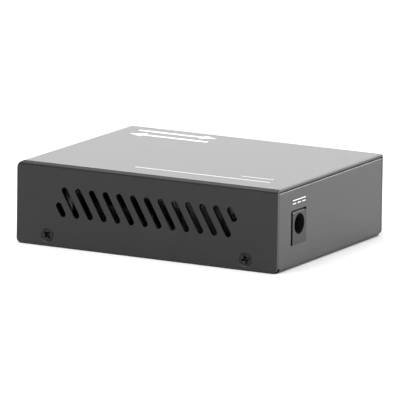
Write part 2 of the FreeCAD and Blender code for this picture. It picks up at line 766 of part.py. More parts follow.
def make_power_jack():
    """The jack's moulding, its centre pin and its sleeve spring. Local Y runs into the case."""
    housing = new_body("power_jack_housing")
    half = mm.jack_width / 2
    barrel = (mm.jack_flange, mm.jack_depth)
    block(housing, "barrel", (-half, half), barrel, (0, mm.jack_height))
    crown = mm.jack_height - mm.jack_axis_height
    round_edges(housing, "barrel_crown", crown - 0.2, "Y", [(-half, mm.jack_height), (half, mm.jack_height)])
    high, slope = mm.jack_height, mm.jack_edge
    flange = [(0, 0), (mm.jack_flange, 0), (mm.jack_flange, high), (slope, high), (0, high - slope)]
    prism(housing, "flange", "YZ", flange, -half, half)
    bore = [(0, mm.jack_axis_height, mm.jack_bore)]
    discs(housing, "bore", "XZ", bore, -1, mm.jack_bore_depth, cut=True)
    pin_bore = [(0, mm.jack_axis_height, mm.jack_pin_root + mm.seat_clearance * 2)]
    discs(housing, "pin_bore", "XZ", pin_bore, mm.jack_bore_depth - 1, mm.jack_depth + 1, cut=True)
    blade = 1.1
    blade_y = mm.jack_depth - 0.6
    block(housing, "blade_groove", (-blade - 0.1, blade + 0.1), (blade_y - 0.35, mm.jack_depth + 1),
          (-1, mm.jack_axis_height), cut=True)
    spring_y = mm.jack_depth - 6.6
    spring_end = mm.jack_bore_depth - 0.3
    block(housing, "spring_window", (-blade - 0.1, blade + 0.1), (mm.jack_flange + 0.4, spring_end),
          (-1, mm.jack_axis_height - mm.jack_bore / 4), cut=True)

    pin = new_body("power_jack_pin")
    tail = -(mm.board_thickness + 1.8)
    block(pin, "blade", (-blade, blade), (blade_y - 0.25, blade_y + 0.25), (tail, mm.jack_axis_height))
    root = [(0, mm.jack_axis_height, mm.jack_pin_root)]
    discs(pin, "root", "XZ", root, mm.jack_bore_depth, blade_y + 0.25)
    free = [(0, mm.jack_axis_height, mm.jack_pin)]
    discs(pin, "free_end", "XZ", free, mm.jack_pin_recess, mm.jack_bore_depth + 0.5)
    bevel(pin, "tip", mm.jack_pin * 0.3, "Y", mm.jack_pin_recess)

    spring = new_body("power_jack_spring")
    floor = mm.jack_axis_height - mm.jack_bore / 2
    leaf = [(spring_y - 0.25, tail), (spring_y + 0.25, tail), (spring_y + 0.25, floor - 2),
            (spring_end - 0.2, floor - 2), (spring_end - 0.2, floor - 1.5), (spring_y - 2.6, floor + 0.4),
            (spring_y - 3.5, floor - 0.3), (spring_y - 3.5, floor - 0.7), (spring_y - 2.6, floor),
            (spring_end - 1.2, floor - 1.6), (spring_y - 0.25, floor - 1.6)]
    prism(spring, "leaf", "YZ", leaf, -blade, blade)
    for part in (housing, pin, spring):
        place(part, jack_x, rear - mm.jack_recess, board_top, turn=180)


def make_copper_port():
    """The shielded eight-way socket: a folded can, a moulding with a stepped mouth and eight wires."""
    half = mm.copper_width / 2
    gauge = mm.shield_gauge
    shield = new_body("copper_port_shield")
    block(shield, "can", (-half, half), (0, mm.copper_depth), (0, mm.copper_height))
    block(shield, "inside", (-half + gauge, half - gauge), (gauge, mm.copper_depth - gauge),
          (-1, mm.copper_height - gauge), cut=True)
    plug = mm.plug_width / 2
    mouth = rectangle(-plug - 0.7, plug + 0.7, 0.9, mm.copper_height - 0.9)
    prism(shield, "mouth", "XZ", mouth, -1, gauge + 0.5, cut=True)
    round_edges(shield, "top_folds", gauge, "Y", [(-half, mm.copper_height), (half, mm.copper_height)])
    for side in (-1, 1):
        finger = [(half * side, 1.4), ((half + mm.port_clearance) * side, 2.4), (half * side, 5.4)]
        for row, low in enumerate((2.4, 8.2)):
            prism(shield, "finger_%d_%d" % (side + 1, row), "XY", finger, low, low + 2.2)
        post = ((half - gauge) * side, half * side)
        block(shield, "post_%d" % (side + 1), post, (shield_post_y - 0.7, shield_post_y + 0.7),
              (-mm.board_thickness - 1.2, 0.5))

    gap = mm.seat_clearance
    moulding = new_body("copper_port_housing")
    face = gauge + gap
    back = face + mm.plug_depth + 0.6
    block(moulding, "block", (-half + gauge + gap, half - gauge - gap), (face, back),
          (gap, mm.copper_height - gauge - gap))
    low = 3.6
    high = low + mm.plug_height
    steps = [(-plug, low), (-3.1, low), (-3.1, 2.2), (-1.7, 2.2), (-1.7, 1.2), (1.7, 1.2), (1.7, 2.2),
             (3.1, 2.2), (3.1, low), (plug, low), (plug, high), (-plug, high)]
    prism(moulding, "plug_mouth", "XZ", steps, -1, face + mm.plug_depth, cut=True)
    wire = 0.4
    comb = new_sketch(moulding, "wire_comb", "YZ", -(mm.copper_contact_pitch * 3.5))
    draw_outline(comb, rectangle(face + 0.5, back + 1, high - 0.5, high + 1.4))
    groove = extrude(moulding, comb, 0, wire + gap * 3, cut=True)
    row = moulding.newObject("PartDesign::LinearPattern", "copper_port_comb_row")
    row.Originals = [groove]
    row.Direction = (comb, ["N_Axis"])
    bind(row, "Length", mm.copper_contact_pitch * 7)
    row.Occurrences = 8
    moulding.Tip = row
    doc.recompute()

    wires = []
    for index, (x, y) in enumerate(copper_tail_spots()):
        tail = y - front
        pattern = new_body("copper_wire_pattern_%d" % index, keep=False)
        half_wire = wire / 2
        hook = [(tail - 0.18, -mm.board_thickness - 1.0), (tail + 0.18, -mm.board_thickness - 1.0),
                (tail + 0.18, high + 1.1), (face + 0.9, high + 1.1), (face + 0.6, high + 0.7),
                (face + 0.8, high + 0.4), (face + 8.6, high - 2.8), (face + 8.7, high - 2.4),
                (face + 1.4, high + 0.75), (tail - 0.18, high + 0.75)]
        across = mm.copper_contact_pitch * (index - 3.5)
        prism(pattern, "hook", "YZ", hook, across - half_wire, across + half_wire)
        wires.append(pattern.Shape)
    contacts = doc.addObject("Part::Feature", "copper_port_contacts")
    contacts.Shape = Part.makeCompound(wires)
    nodes.append(contacts)
    for part in (shield, moulding, contacts):
        place(part, copper_x, front, board_top)


def make_fibre_port():
    """The cage for a plug-in fibre module, its earthing collar and the edge connector at its back."""
    half = mm.fibre_width / 2
    gauge = mm.cage_gauge
    tall = mm.fibre_height
    cage = new_body("fibre_cage")
    block(cage, "tube", (-half, half), (0, mm.fibre_depth), (0, tall))
    block(cage, "inside", (-half + gauge, half - gauge), (-1, mm.fibre_depth - gauge), (gauge, tall - gauge),
          cut=True)
    connector_y = (mm.fibre_depth - 10.0, mm.fibre_depth - 0.9)
    under_connector = (connector_y[0] - 1.5, mm.fibre_depth - gauge)
    block(cage, "connector_opening", (-half + gauge, half - gauge), under_connector, (-1, gauge + 1), cut=True)
    for side in (-1, 1):
        latch_slit = (2.4 * side, 2.8 * side)
        block(cage, "latch_slit_%d" % (side + 1), latch_slit, (-1, 11), (-1, gauge + 1), cut=True)
    block(cage, "latch_hole", (-1.3, 1.3), (3.6, 6.2), (-1, gauge + 1), cut=True)
    holes = [(x, 14 + 7 * index, 2.2) for x in (-3.5, 3.5) for index in range(4)]
    discs(cage, "cooling_holes", "XY", holes, tall - 1, tall + 1, cut=True)
    pins = new_sketch(cage, "pins", "XY", -(mm.board_thickness + 0.6) / 2 + 0.2)
    for x, y in cage_pin_spots():
        side = 1 if x.value > 0 else -1
        draw_outline(pins, rectangle(x - gauge / 2, x + gauge / 2, y - 0.4, y + 0.4)[::side])
    extrude(cage, pins, -(mm.board_thickness + 0.6), 0.4, cut=False)

    collar = new_body("fibre_cage_collar")
    gap = mm.seat_clearance / 2
    skin = 0.2
    inner, outer = half + gap, half + gap + skin
    strap = [(-outer, 0.6), (-inner, 0.6), (-inner, tall + gap), (inner, tall + gap), (inner, 0.6),
             (outer, 0.6), (outer, tall + gap + skin), (-outer, tall + gap + skin)]
    prism(collar, "strap", "XZ", strap, 5.0, 6.4)
    rise = mm.spring_rise

    def bow(base):
        """A springy strip that starts at the strap, bows out and comes back to the cage."""
        return [(0.3, base), (1.2, base + rise - skin), (5.1, base), (5.1, base + skin),
                (1.2, base + rise), (0.3, base + skin)]

    for index in (-1, 0, 1):
        x = index * 4.6
        prism(collar, "top_finger_%d" % (index + 1), "YZ", bow(tall + gap), x - 1.7, x + 1.7)
    for side in (-1, 1):
        outline = [(across * side, along) for along, across in bow(inner)]
        for row, low in enumerate((1.2, 5.4)):
            name = "side_finger_%d_%d" % (side + 1, row)
            prism(collar, name, "XY", outline, low, low + 3.2)

    connector = new_body("fibre_connector")
    reach = 6.0
    block(connector, "body", (-reach, reach), connector_y, (0, 5.4))
    slot = (2.5, 4.1)
    block(connector, "slot", (-reach + 0.9, reach - 0.9), (connector_y[0] - 1, connector_y[0] + 4.0), slot,
          cut=True)

    tongues = []
    lead = connector_y[0] + 0.5
    for level, turn in ((slot[0], 1), (slot[1], -1)):
        pattern = new_body("fibre_contact_pattern_%d" % (turn + 1), keep=False)
        bump = [(lead, level), (lead + 1.2, level + 0.4 * turn), (lead + 3.2, level)]
        prism(pattern, "bump", "YZ", bump, -0.15, 0.15)
        tongues += [pattern.Shape.translated(Vector(0.8 * (index - 4.5), 0, 0)) for index in range(10)]
    contacts = doc.addObject("Part::Feature", "fibre_connector_contacts")
    contacts.Shape = Part.makeCompound(tongues)
    nodes.append(contacts)
    for part in (cage, collar, connector, contacts):
        place(part, fibre_x, front, board_top)


def cage_pin_spots():
    """The cage's pins, from its middle and its front: five down each wall."""
    side = mm.fibre_width / 2 - mm.cage_gauge / 2
    return [(side * way, as_size(5.0) + index * 9.0) for way in (-1, 1) for index in range(5)]


def make_mode_switch():
    """A slide switch: metal frame, contact base, three terminals, and a knob with its wiper."""
    half = mm.switch_width / 2
    gauge = mm.shield_gauge
    play = mm.slide_clearance
    middle = mm.switch_height / 2
    frame = new_body("mode_switch_frame")
    block(frame, "box", (-half, half), (0, mm.switch_depth), (0, mm.switch_height))
    block(frame, "inside", (-half + gauge, half - gauge), (gauge, mm.switch_depth + 1),
          (-1, mm.switch_height - gauge), cut=True)
    window = mm.switch_travel / 2 + knob_out + play
    tall = mm.knob_height / 2 + play
    opening = rectangle(-window, window, middle - tall, middle + tall)
    prism(frame, "window", "XZ", opening, -1, gauge + 1, cut=True)

    base = new_body("mode_switch_base")
    base_y = mm.switch_depth - 2.2
    gap = mm.seat_clearance
    width = half - gauge - gap
    block(base, "block", (-width, width), (base_y, mm.switch_depth - gap),
          (0, mm.switch_height - gauge - gap))
    terminals = []
    strip = 0.4
    for index in (-1, 0, 1):
        x = index * terminal_pitch
        block(base, "groove_%d" % (index + 1), (x - strip - gap, x + strip + gap),
              (base_y - 1, base_y + strip + gap), (-1, mm.switch_height + 1), cut=True)
        pattern = new_body("terminal_pattern_%d" % (index + 1), keep=False)
        block(pattern, "strip", (x - strip, x + strip), (base_y, base_y + strip),
              (-mm.board_thickness - 1.0, mm.switch_height - 1.0))
        terminals.append(pattern.Shape)
    pins = doc.addObject("Part::Feature", "mode_switch_terminals")
    pins.Shape = Part.makeCompound(terminals)
    nodes.append(pins)

    knob = new_body("mode_switch_knob")
    plate = half - gauge - mm.switch_travel / 2 - play * 2
    plate_y = (gauge + play, base_y - 0.3)
    block(knob, "plate", (-plate, plate), plate_y, (middle - 1.7, middle + 1.7))
    stem_y = front + mm.seat_clearance - switch_face
    stem = (middle - mm.knob_height / 2, middle + mm.knob_height / 2)
    block(knob, "stem", (-knob_out, knob_out), (stem_y, plate_y[0] + 0.2), stem)
    for index in (-1, 1):
        x = index * 0.35
        block(knob, "grip_%d" % (index + 1), (x - 0.12, x + 0.12), (stem_y - 1, stem_y + 0.3),
              (-1, mm.switch_height + 1), cut=True)
    wiper = new_body("mode_switch_wiper")
    leaf = [(-1.9, plate_y[1]), (1.9, plate_y[1]), (1.9, plate_y[1] + 0.1), (1.4, plate_y[1] + 0.2),
            (-1.4, plate_y[1] + 0.2), (-1.9, plate_y[1] + 0.1)]
    prism(wiper, "leaf", "XY", leaf, middle - 0.6, middle + 0.6)
    for part in (frame, base, pins):
        place(part, switch_x, switch_face, board_top)
    for part in (knob, wiper):
        place(part, switch_x - mm.switch_travel / 2, switch_face, board_top)


def make_lamps():
    """Four lamps in a moulded holder, two over two, with their wires."""
    holder = new_body("lamp_holder")
    half = holder_width / 2
    high = mm.lamp_low + mm.lamp_pitch + mm.lamp_pitch / 2
    block(holder, "block", (-half, half), (0, mm.lamp_holder_depth), (0, high))
    bores = [(x - lamp_x, z - board_top, mm.lamp_diameter + mm.seat_clearance * 2) for x, z in lamp_spots]
    discs(holder, "bores", "XZ", bores, -1, mm.lamp_holder_depth + 1, cut=True)
    place(holder, lamp_x, switch_face, board_top)

    lamp = new_body("lamp_pattern", keep=False)
    radius = mm.lamp_diameter / 2
    length = 5.6
    dome = [(0, 0), (radius * 0.6, -radius * 0.2), (radius, -radius), (radius, -length), (0, -length)]
    turned(lamp, "lens", dome)
    outward = Rotation(Vector(1, 0, 0), 90)
    tips = [spot(x, front + mm.seat_clearance, z, outward) for x, z in lamp_spots]
    copies("lamps", lamp.Shape, tips)

    wires = []
    start = mm.seat_clearance + length
    for index, (x, z) in enumerate(lamp_spots):
        drop = switch_face - front + mm.lamp_holder_depth + (0.6 if index % 2 else 0.2)
        level = z - board_top
        for side in (-1, 1):
            pattern = new_body("lamp_wire_pattern_%d_%d" % (index, side + 1), keep=False)
            bent = [(start, level), (start, level + 0.3), (drop + 0.3, level + 0.3), (drop + 0.3, 0),
                    (drop, 0), (drop, level)]
            across = x - lamp_x + side * 0.6 + (0.2 if index % 2 else -0.2) * side
            prism(pattern, "wire", "YZ", bent, across - 0.12, across + 0.12)
            wires.append(pattern.Shape)
    leads = doc.addObject("Part::Feature", "lamp_wires")
    leads.Shape = Part.makeCompound(wires)
    nodes.append(leads)
    place(leads, lamp_x, front, board_top)


def make_chip(label, width, length, height, leads, pitch, all_round, x, y, turn=0):
    """A moulded package with gull-wing leads on two or four sides."""
    body = new_body(label)
    width, length, height = as_size(width), as_size(length), as_size(height)
    lift = 0.1
    block(body, "package", (-width / 2, width / 2), (-length / 2, length / 2), (lift, height))
    bevel(body, "edge", 0.25, "Z", height)
    level = height / 2
    for plane, side in (("XZ", width / 2), ("YZ", length / 2)):
        if plane == "YZ" and not all_round:
            continue
        comb = new_sketch(body, "lead_" + plane, plane, as_size(pitch) * (-(leads - 1) / 2))
        for way in (-1, 1):
            wing = [((side - 0.1) * way, level), ((side + 0.5) * way, level), ((side + 1.2) * way, 0.2),
                    ((side + 1.2) * way, 0), ((side + 0.4) * way, 0), ((side - 0.1) * way, level - 0.2)]
            draw_outline(comb, wing)
        lead = extrude(body, comb, 0, as_size(pitch) * 0.45, cut=False)
        row = body.newObject("PartDesign::LinearPattern", label + "_row_" + plane)
        row.Originals = [lead]
        row.Direction = (comb, ["N_Axis"])
        row.Reversed = plane == "XZ"
        bind(row, "Length", as_size(pitch) * (leads - 1))
        row.Occurrences = leads
        body.Tip = row
        doc.recompute()
    place(body, x, y, board_top, turn)
    return body


def make_board_parts():
    """What the board carries between the ports: chips, transformer, clock, coils and capacitors."""
    chip_x = (switch_x + lamp_x) / 2
    chip_y = front + mm.chip_width * 2.9
    make_chip("converter_chip", mm.chip_width, mm.chip_width, mm.chip_height, 11, 0.8, True, chip_x, chip_y)
    memory_length = 4.9
    memory_y = chip_y + mm.chip_width + 2
    make_chip("memory_chip", 3.9, memory_length, 1.5, 4, 1.27, False, chip_x - 2, memory_y)
    behind_port = front + mm.copper_depth + mm.transformer_length / 2 + 2
    transformer_x = copper_x - mm.copper_width / 2 + mm.transformer_width / 2
    make_chip("line_transformer", mm.transformer_width, mm.transformer_length, mm.transformer_height, 12, 1.0,
              False, transformer_x, behind_port)
    regulator_y = rear - mm.jack_depth - mm.regulator_setback
    make_chip("regulator_chip", 3.9, 4.9, 1.5, 4, 1.27, False, 6, regulator_y, 90)

    clock = new_body("clock_crystal")
    end = 3.35                  # the middle of each rounded end
    flange_width = 5.4
    clock_length = end * 2 + flange_width
    block(clock, "can", (-2.3, 2.3), (-end, end), (0.3, 3.6))
    discs(clock, "ends", "XY", [(0, -end, 4.6), (0, end, 4.6)], 0.3, 3.6)
    bevel(clock, "edge", 0.4, "Z", 3.6)
    flange = new_sketch(clock, "flange", "XY", 0.2)
    draw_slot(flange, (0, -end), (0, end), flange_width)
    extrude(clock, flange, 0, 0.4, cut=False)
    clock_y = memory_y + memory_length / 2 + clock_length / 2 + mm.part_spacing
    place(clock, -(board_side - 9), clock_y, board_top)

    coil = new_body("coil_pattern", keep=False)
    wide = mm.inductor_width / 2
    block(coil, "core", (-wide, wide), (-wide, wide), (0, mm.inductor_height))
    corners = [(-wide, -wide), (wide, -wide), (-wide, wide), (wide, wide)]
    round_edges(coil, "corners", mm.inductor_width * 0.2, "Z", corners)
    bevel(coil, "edge", 0.3, "Z", mm.inductor_height)
    row_y = rear - mm.jack_depth - 8
    coil_spots = [(jack_x - 11, row_y), (jack_x - 11 - mm.inductor_width * 1.6, row_y + 4)]
    copies("power_coils", coil.Shape, [spot(x, y, board_top) for x, y in coil_spots])

    can = new_body("capacitor_pattern", keep=False)
    radius = mm.capacitor_diameter / 2
    tall = mm.capacitor_height
    half = [(0, 0), (radius, 0), (radius, tall - 0.4), (radius - 0.4, tall), (0, tall)]
    turned(can, "can", half)
    behind_jack = rear - mm.jack_depth
    capacitor_spots = [(board_side - 6.3, behind_jack - 6.5), (board_side - 14.5, behind_jack - 6.0)]
    copies("bulk_capacitors", can.Shape, [spot(x, y, board_top) for x, y in capacitor_spots])

    dab = new_body("chip_capacitor_pattern", keep=False)
    block(dab, "ceramic", (-1.0, 1.0), (-0.6, 0.6), (0, 0.9))
    ring = mm.chip_width / 2 + 2.6
    dabs = [(chip_x + ring * way, chip_y + 3 * index) for way in (-1, 1) for index in (-1, 0, 1)]
    dabs += [(transformer_x + 3 * index, behind_port + mm.transformer_length / 2 + 2) for index in (-1, 0, 1)]
    copies("chip_capacitors", dab.Shape, [spot(x, y, board_top) for x, y in dabs])


make_cover()
make_tray()
make_cover_screws()
make_board_fixings()
make_board()
make_power_jack()
make_copper_port()
make_fibre_port()
make_mode_switch()
make_lamps()
make_board_parts()
doc.recompute()

for item in doc.Objects:
    if "Invalid" in item.State or "Error" in item.State:
        raise ValueError("%s could not be made: %s" % (item.Label, item.State))
for node in nodes:
    if node.Shape.isNull() or not node.Shape.isValid() or not node.Shape.Solids:
        raise ValueError(node.Label + " has no valid solid")

os.makedirs("parts", exist_ok=True)
for node in nodes:
    node.Shape.exportStep(os.path.join("parts", node.Label + ".step"))
    print("%-28s %3d solids %10.2f mm3" % (node.Label, len(node.Shape.Solids), node.Shape.Volume))
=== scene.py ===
import math
import bmesh
import bpy
import numpy as np
from mathutils import Matrix, Vector


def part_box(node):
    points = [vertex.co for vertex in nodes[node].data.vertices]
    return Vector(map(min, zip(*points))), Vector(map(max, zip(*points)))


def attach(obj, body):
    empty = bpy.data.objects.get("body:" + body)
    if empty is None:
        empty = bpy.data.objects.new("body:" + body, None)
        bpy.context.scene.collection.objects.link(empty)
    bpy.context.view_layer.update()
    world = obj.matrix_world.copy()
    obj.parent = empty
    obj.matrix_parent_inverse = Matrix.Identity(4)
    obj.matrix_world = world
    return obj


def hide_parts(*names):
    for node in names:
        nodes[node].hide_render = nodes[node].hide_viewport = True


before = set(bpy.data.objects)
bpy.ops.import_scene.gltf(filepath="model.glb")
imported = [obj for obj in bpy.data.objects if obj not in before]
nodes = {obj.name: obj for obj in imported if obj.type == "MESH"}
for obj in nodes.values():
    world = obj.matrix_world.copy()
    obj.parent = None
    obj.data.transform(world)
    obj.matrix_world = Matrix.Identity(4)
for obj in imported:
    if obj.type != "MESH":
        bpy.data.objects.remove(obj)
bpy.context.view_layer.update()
mm = 0.001
mergeWithin = 0.0005        # mm between two points of a new piece that are made one
sharpFrom = 35              # degrees between two faces, from which their edge is drawn sharp
noiseRange = (0.3, 0.7)     # what a soft noise runs between, near enough
print("frame loaded:", len(nodes), "nodes")


# Meshes. A surface is an array of points, rows by columns, and a piece is one or more surfaces.

def gridFaces(rows, columns, closed, start):
    # quads between neighbouring rows and columns; a closed grid joins its last column to its first
    wide = columns if closed else columns - 1
    row, column = np.meshgrid(np.arange(rows - 1), np.arange(wide), indexing="ij")
    following = (column + 1) % columns
    corners = [row * columns + column, row * columns + following,
               (row + 1) * columns + following, (row + 1) * columns + column]
    return start + np.stack(corners, -1).reshape(-1, 4)


def revolve(profile, steps):
    # point(i, a) = (radius i * cos a, radius i * sin a, height i)
    profile = np.asarray(profile, float)
    angle = np.linspace(0, 2 * np.pi, steps, endpoint=False)
    radius, height = profile[:, :1], profile[:, 1:]
    return np.stack([radius * np.cos(angle), radius * np.sin(angle), height + 0 * angle], -1)


def tube(path, radius, steps):
    # a circle carried along the path, square to its direction at each point
    path = np.asarray(path, float)
    along = np.gradient(path, axis=0)
    along /= np.linalg.norm(along, axis=1, keepdims=True)
    side = np.cross(along, (1.0, 0.0, 0.0))
    side /= np.linalg.norm(side, axis=1, keepdims=True)
    other = np.cross(along, side)
    angle = np.linspace(0, 2 * np.pi, steps, endpoint=False)[:, None]
    ring = side[:, None] * np.cos(angle) + other[:, None] * np.sin(angle)
    wall = path[:, None] + radius * ring
    ends = [np.repeat(path[end:end + 1, None], steps, axis=1) for end in (0, len(path) - 1)]
    return np.concatenate([ends[0], wall, ends[1]])


def roundedPath(corners, radius, steps):
    # each inner corner becomes a quadratic curve that starts and ends one radius from it
    corners = [np.asarray(corner, float) for corner in corners]
    points = [corners[0]]
    share = np.linspace(0, 1, steps)[:, None]
    most = 0.45             # of a side, so that two curves on it never meet
    for before, corner, after in zip(corners, corners[1:], corners[2:]):
        back, on = before - corner, after - corner
        reach = min(radius, most * np.linalg.norm(back), most * np.linalg.norm(on))
        start = corner + back / np.linalg.norm(back) * reach
        end = corner + on / np.linalg.norm(on) * reach
        points.extend((1 - share) ** 2 * start + 2 * share * (1 - share) * corner + share ** 2 * end)
    points.append(corners[-1])
    return np.array(points)


def turnedTo(surface, matrix):
    # every point of a surface through one 4 by 4 matrix
    turn = np.array(matrix)
    return surface @ turn[:3, :3].T + turn[:3, 3]


def solidBoxes(name):
    # low and high corner, in millimetres, of each separate solid of a node: points at one place are
    # one point, and the lowest label spreads along the edges until every solid has a single label
    mesh = nodes[name].data
    points = np.empty(len(mesh.vertices) * 3)
    mesh.vertices.foreach_get("co", points)
    spots, same = np.unique(np.round(points.reshape(-1, 3) / mm, 4), axis=0, return_inverse=True)
    same = same.ravel()
    ends = np.empty(len(mesh.edges) * 2, int)
    mesh.edges.foreach_get("vertices", ends)
    one, other = same[ends[0::2]], same[ends[1::2]]
    label, before = np.arange(len(spots)), None
    while before is None or (label != before).any():
        before = label.copy()
        least = np.minimum(label[one], label[other])
        np.minimum.at(label, one, least)
        np.minimum.at(label, other, least)
        label = label[label]
    boxes = [(spots[label == number].min(0), spots[label == number].max(0)) for number in np.unique(label)]
    return sorted(boxes, key=lambda box: tuple(np.round(box[0], 2)))


def makePiece(name, surfaces, material, body, replaced=(), closed=True):
    # joins the surfaces' grids into one mesh, in metres, with its normals pointing outwards
    points, faces, start = [], [], 0
    for surface in surfaces:
        rows, columns = surface.shape[:2]
        points.append(surface.reshape(-1, 3))
        faces.append(gridFaces(rows, columns, closed, start))
        start += rows * columns
    mesh = bpy.data.meshes.new(name)
    mesh.from_pydata(np.concatenate(points) * mm, [], np.concatenate(faces).tolist())
    work = bmesh.new()
    work.from_mesh(mesh)
    bmesh.ops.remove_doubles(work, verts=work.verts, dist=mergeWithin * mm)
    bmesh.ops.dissolve_degenerate(work, edges=work.edges, dist=mergeWithin * mm)
    bmesh.ops.recalc_face_normals(work, faces=work.faces)
    work.to_mesh(mesh)
    work.free()
    mesh.polygons.foreach_set("use_smooth", np.ones(len(mesh.polygons), bool))
    mesh.set_sharp_from_angle(angle=math.radians(sharpFrom))
    piece = bpy.data.objects.new(name, mesh)
    bpy.context.scene.collection.objects.link(piece)
    mesh.materials.append(material)
    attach(piece, body)
    if replaced:
        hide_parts(*replaced)
    print("piece made:", name, len(mesh.polygons), "faces")


# Materials. Fixed values go straight on the shader; noises read Object coordinates in metres.

def startMaterial(name, settings):
    material = bpy.data.materials.new(name)
    material.use_nodes = True
    tree = material.node_tree
    shader = tree.nodes["Principled BSDF"]
    for socket, value in settings.items():
        shader.inputs[socket].default_value = value
    place = tree.nodes.new("ShaderNodeTexCoord")
    return material, tree, shader, place.outputs["Object"]


def stretched(tree, place, scale):
    mapping = tree.nodes.new("ShaderNodeMapping")
    mapping.inputs["Scale"].default_value = scale
    tree.links.new(place, mapping.inputs["Vector"])
    return mapping.outputs["Vector"]


def noise(tree, place, grainMm, detail):
    # a soft noise whose grains are about so many millimetres apart
    texture = tree.nodes.new("ShaderNodeTexNoise")
    texture.inputs["Scale"].default_value = 1 / (grainMm * mm)
    texture.inputs["Detail"].default_value = detail
    tree.links.new(place, texture.inputs["Vector"])
    return texture.outputs["Fac"]


def cells(tree, place, grainMm):
    # distance from the middle of the nearest of many cells, about so many millimetres apart
    texture = tree.nodes.new("ShaderNodeTexVoronoi")
    texture.inputs["Scale"].default_value = 1 / (grainMm * mm)
    tree.links.new(place, texture.inputs["Vector"])
    return texture.outputs["Distance"]


def twoTone(tree, value, dark, light):
    # maps a soft noise onto the colours between dark and light
    node = tree.nodes.new("ShaderNodeValToRGB")
    for stop, position, colour in zip(node.color_ramp.elements, noiseRange, (dark, light)):
        stop.position = position
        stop.color = (*colour, 1.0)
    tree.links.new(value, node.inputs["Fac"])
    return node.outputs["Color"]


def mapped(tree, value, low, high, source=(0.0, 1.0)):
    # maps a value that runs over the source's range onto low to high
    node = tree.nodes.new("ShaderNodeMapRange")
    names = ("From Min", "From Max", "To Min", "To Max")
    for name, number in zip(names, (*source, low, high)):
        node.inputs[name].default_value = number
    tree.links.new(value, node.inputs["Value"])
    return node.outputs["Result"]


def bump(tree, height, depthMm, under=None):
    node = tree.nodes.new("ShaderNodeBump")
    node.inputs["Distance"].default_value = depthMm * mm
    tree.links.new(height, node.inputs["Height"])
    if under is not None:
        tree.links.new(under, node.inputs["Normal"])
    return node.outputs["Normal"]


coat = {
    "dark": (0.0088, 0.0088, 0.0089),
    "light": (0.0128, 0.0128, 0.0129),
    "cloudMm": 18,          # drift of the colour
    "specular": 0.5,
    "rough": (0.36, 0.44),
    "peelMm": 0.55,         # orange peel, crest to crest
    "peelDepthMm": 0.006,
    "gritMm": 0.12,
    "gritDepthMm": 0.002,
    # where the vents' inner faces are, in mm: depth below the wall's face, half length, and height
    "ventBand": {"from": 0.04, "to": 0.96, "reach": 34.5, "low": 8.5, "high": 21.5},
    "ventPaintedShade": 0.15,       # share of colour and gloss left on those faces: painted shade inside the vents
}


def insideVents(tree, place):
    # 1 within the thickness of the two vented walls, as far as the row of vents goes, and 0 elsewhere: the
    # mask of the painted shade inside the vents
    split = tree.nodes.new("ShaderNodeSeparateXYZ")
    tree.links.new(place, split.inputs["Vector"])

    def worked(operation, source, other=0.0):
        # other is a number, or another node's output
        node = tree.nodes.new("ShaderNodeMath")
        node.operation = operation
        tree.links.new(source, node.inputs[0])
        if isinstance(other, float):
            node.inputs[1].default_value = other
        else:
            tree.links.new(other, node.inputs[1])
        return node.outputs["Value"]

    across, along = (worked("ABSOLUTE", split.outputs[axis]) for axis in "XY")
    up = split.outputs["Z"]
    wall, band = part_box("top_cover")[1].x, coat["ventBand"]
    inside = worked("LESS_THAN", across, wall - band["from"] * mm)
    for operation, source, limit in (("GREATER_THAN", across, wall - band["to"] * mm),
                                     ("LESS_THAN", along, band["reach"] * mm),
                                     ("GREATER_THAN", up, band["low"] * mm),
                                     ("LESS_THAN", up, band["high"] * mm)):
        inside = worked("MULTIPLY", inside, worked(operation, source, limit))
    return inside


def powderCoat(name="powderCoat", gloss=0.0, share=1.0, vented=False):
    # gloss is taken off the roughness, share scales colour and reflection, and vented darkens the vents'
    # inner faces and weakens their reflection, as painted shade
    level = coat["specular"] * share
    material, tree, shader, place = startMaterial(name, {"IOR": 1.5, "Specular IOR Level": level})
    cloud = noise(tree, place, coat["cloudMm"], detail=3)
    peel = noise(tree, place, coat["peelMm"], detail=1)
    grit = noise(tree, place, coat["gritMm"], detail=2)
    dark, light = (tuple(channel * share for channel in coat[key]) for key in ("dark", "light"))
    colour = twoTone(tree, cloud, dark, light)
    # painted shade: a darker colour and a weaker reflection on the vents' inner faces
    if vented:
        inside = insideVents(tree, place)
        shade = tree.nodes.new("ShaderNodeVectorMath")
        shade.operation = "SCALE"
        tree.links.new(colour, shade.inputs["Vector"])
        tree.links.new(mapped(tree, inside, 1.0, coat["ventPaintedShade"]), shade.inputs["Scale"])
        colour = shade.outputs["Vector"]
        gleam = mapped(tree, inside, level, level * coat["ventPaintedShade"])
        tree.links.new(gleam, shader.inputs["Specular IOR Level"])
    tree.links.new(colour, shader.inputs["Base Color"])
    rough = mapped(tree, grit, *(value - gloss for value in coat["rough"]), noiseRange)
    tree.links.new(rough, shader.inputs["Roughness"])
    waves = bump(tree, peel, coat["peelDepthMm"])
    tree.links.new(bump(tree, grit, coat["gritDepthMm"], under=waves), shader.inputs["Normal"])
    return material


metalGrain = {
    "cloudMm": 6,           # drift of the colour
    "below": 0.06,          # how far the roughness runs below and above its middle
    "above": 0.08,
    "depthMm": 0.002,
}


def metal(name, dark, light, rough, brushed=None, grainMm=0.2):
    # plated or rolled metal; brushed gives the stretch of its fine lines along X, Y and Z
    material, tree, shader, place = startMaterial(name, {"Metallic": 1.0})
    lines = place if brushed is None else stretched(tree, place, brushed)
    grain = noise(tree, lines, grainMm, detail=3)
    cloud = noise(tree, place, metalGrain["cloudMm"], detail=2)
    sheen = mapped(tree, grain, rough - metalGrain["below"], rough + metalGrain["above"], noiseRange)
    tree.links.new(twoTone(tree, cloud, dark, light), shader.inputs["Base Color"])
    tree.links.new(sheen, shader.inputs["Roughness"])
    tree.links.new(bump(tree, grain, metalGrain["depthMm"]), shader.inputs["Normal"])
    return material


plasticGrain = {
    "flowMm": 5,            # drift of the colour
    "below": 0.05,          # how far the roughness runs below and above its middle
    "above": 0.07,
}


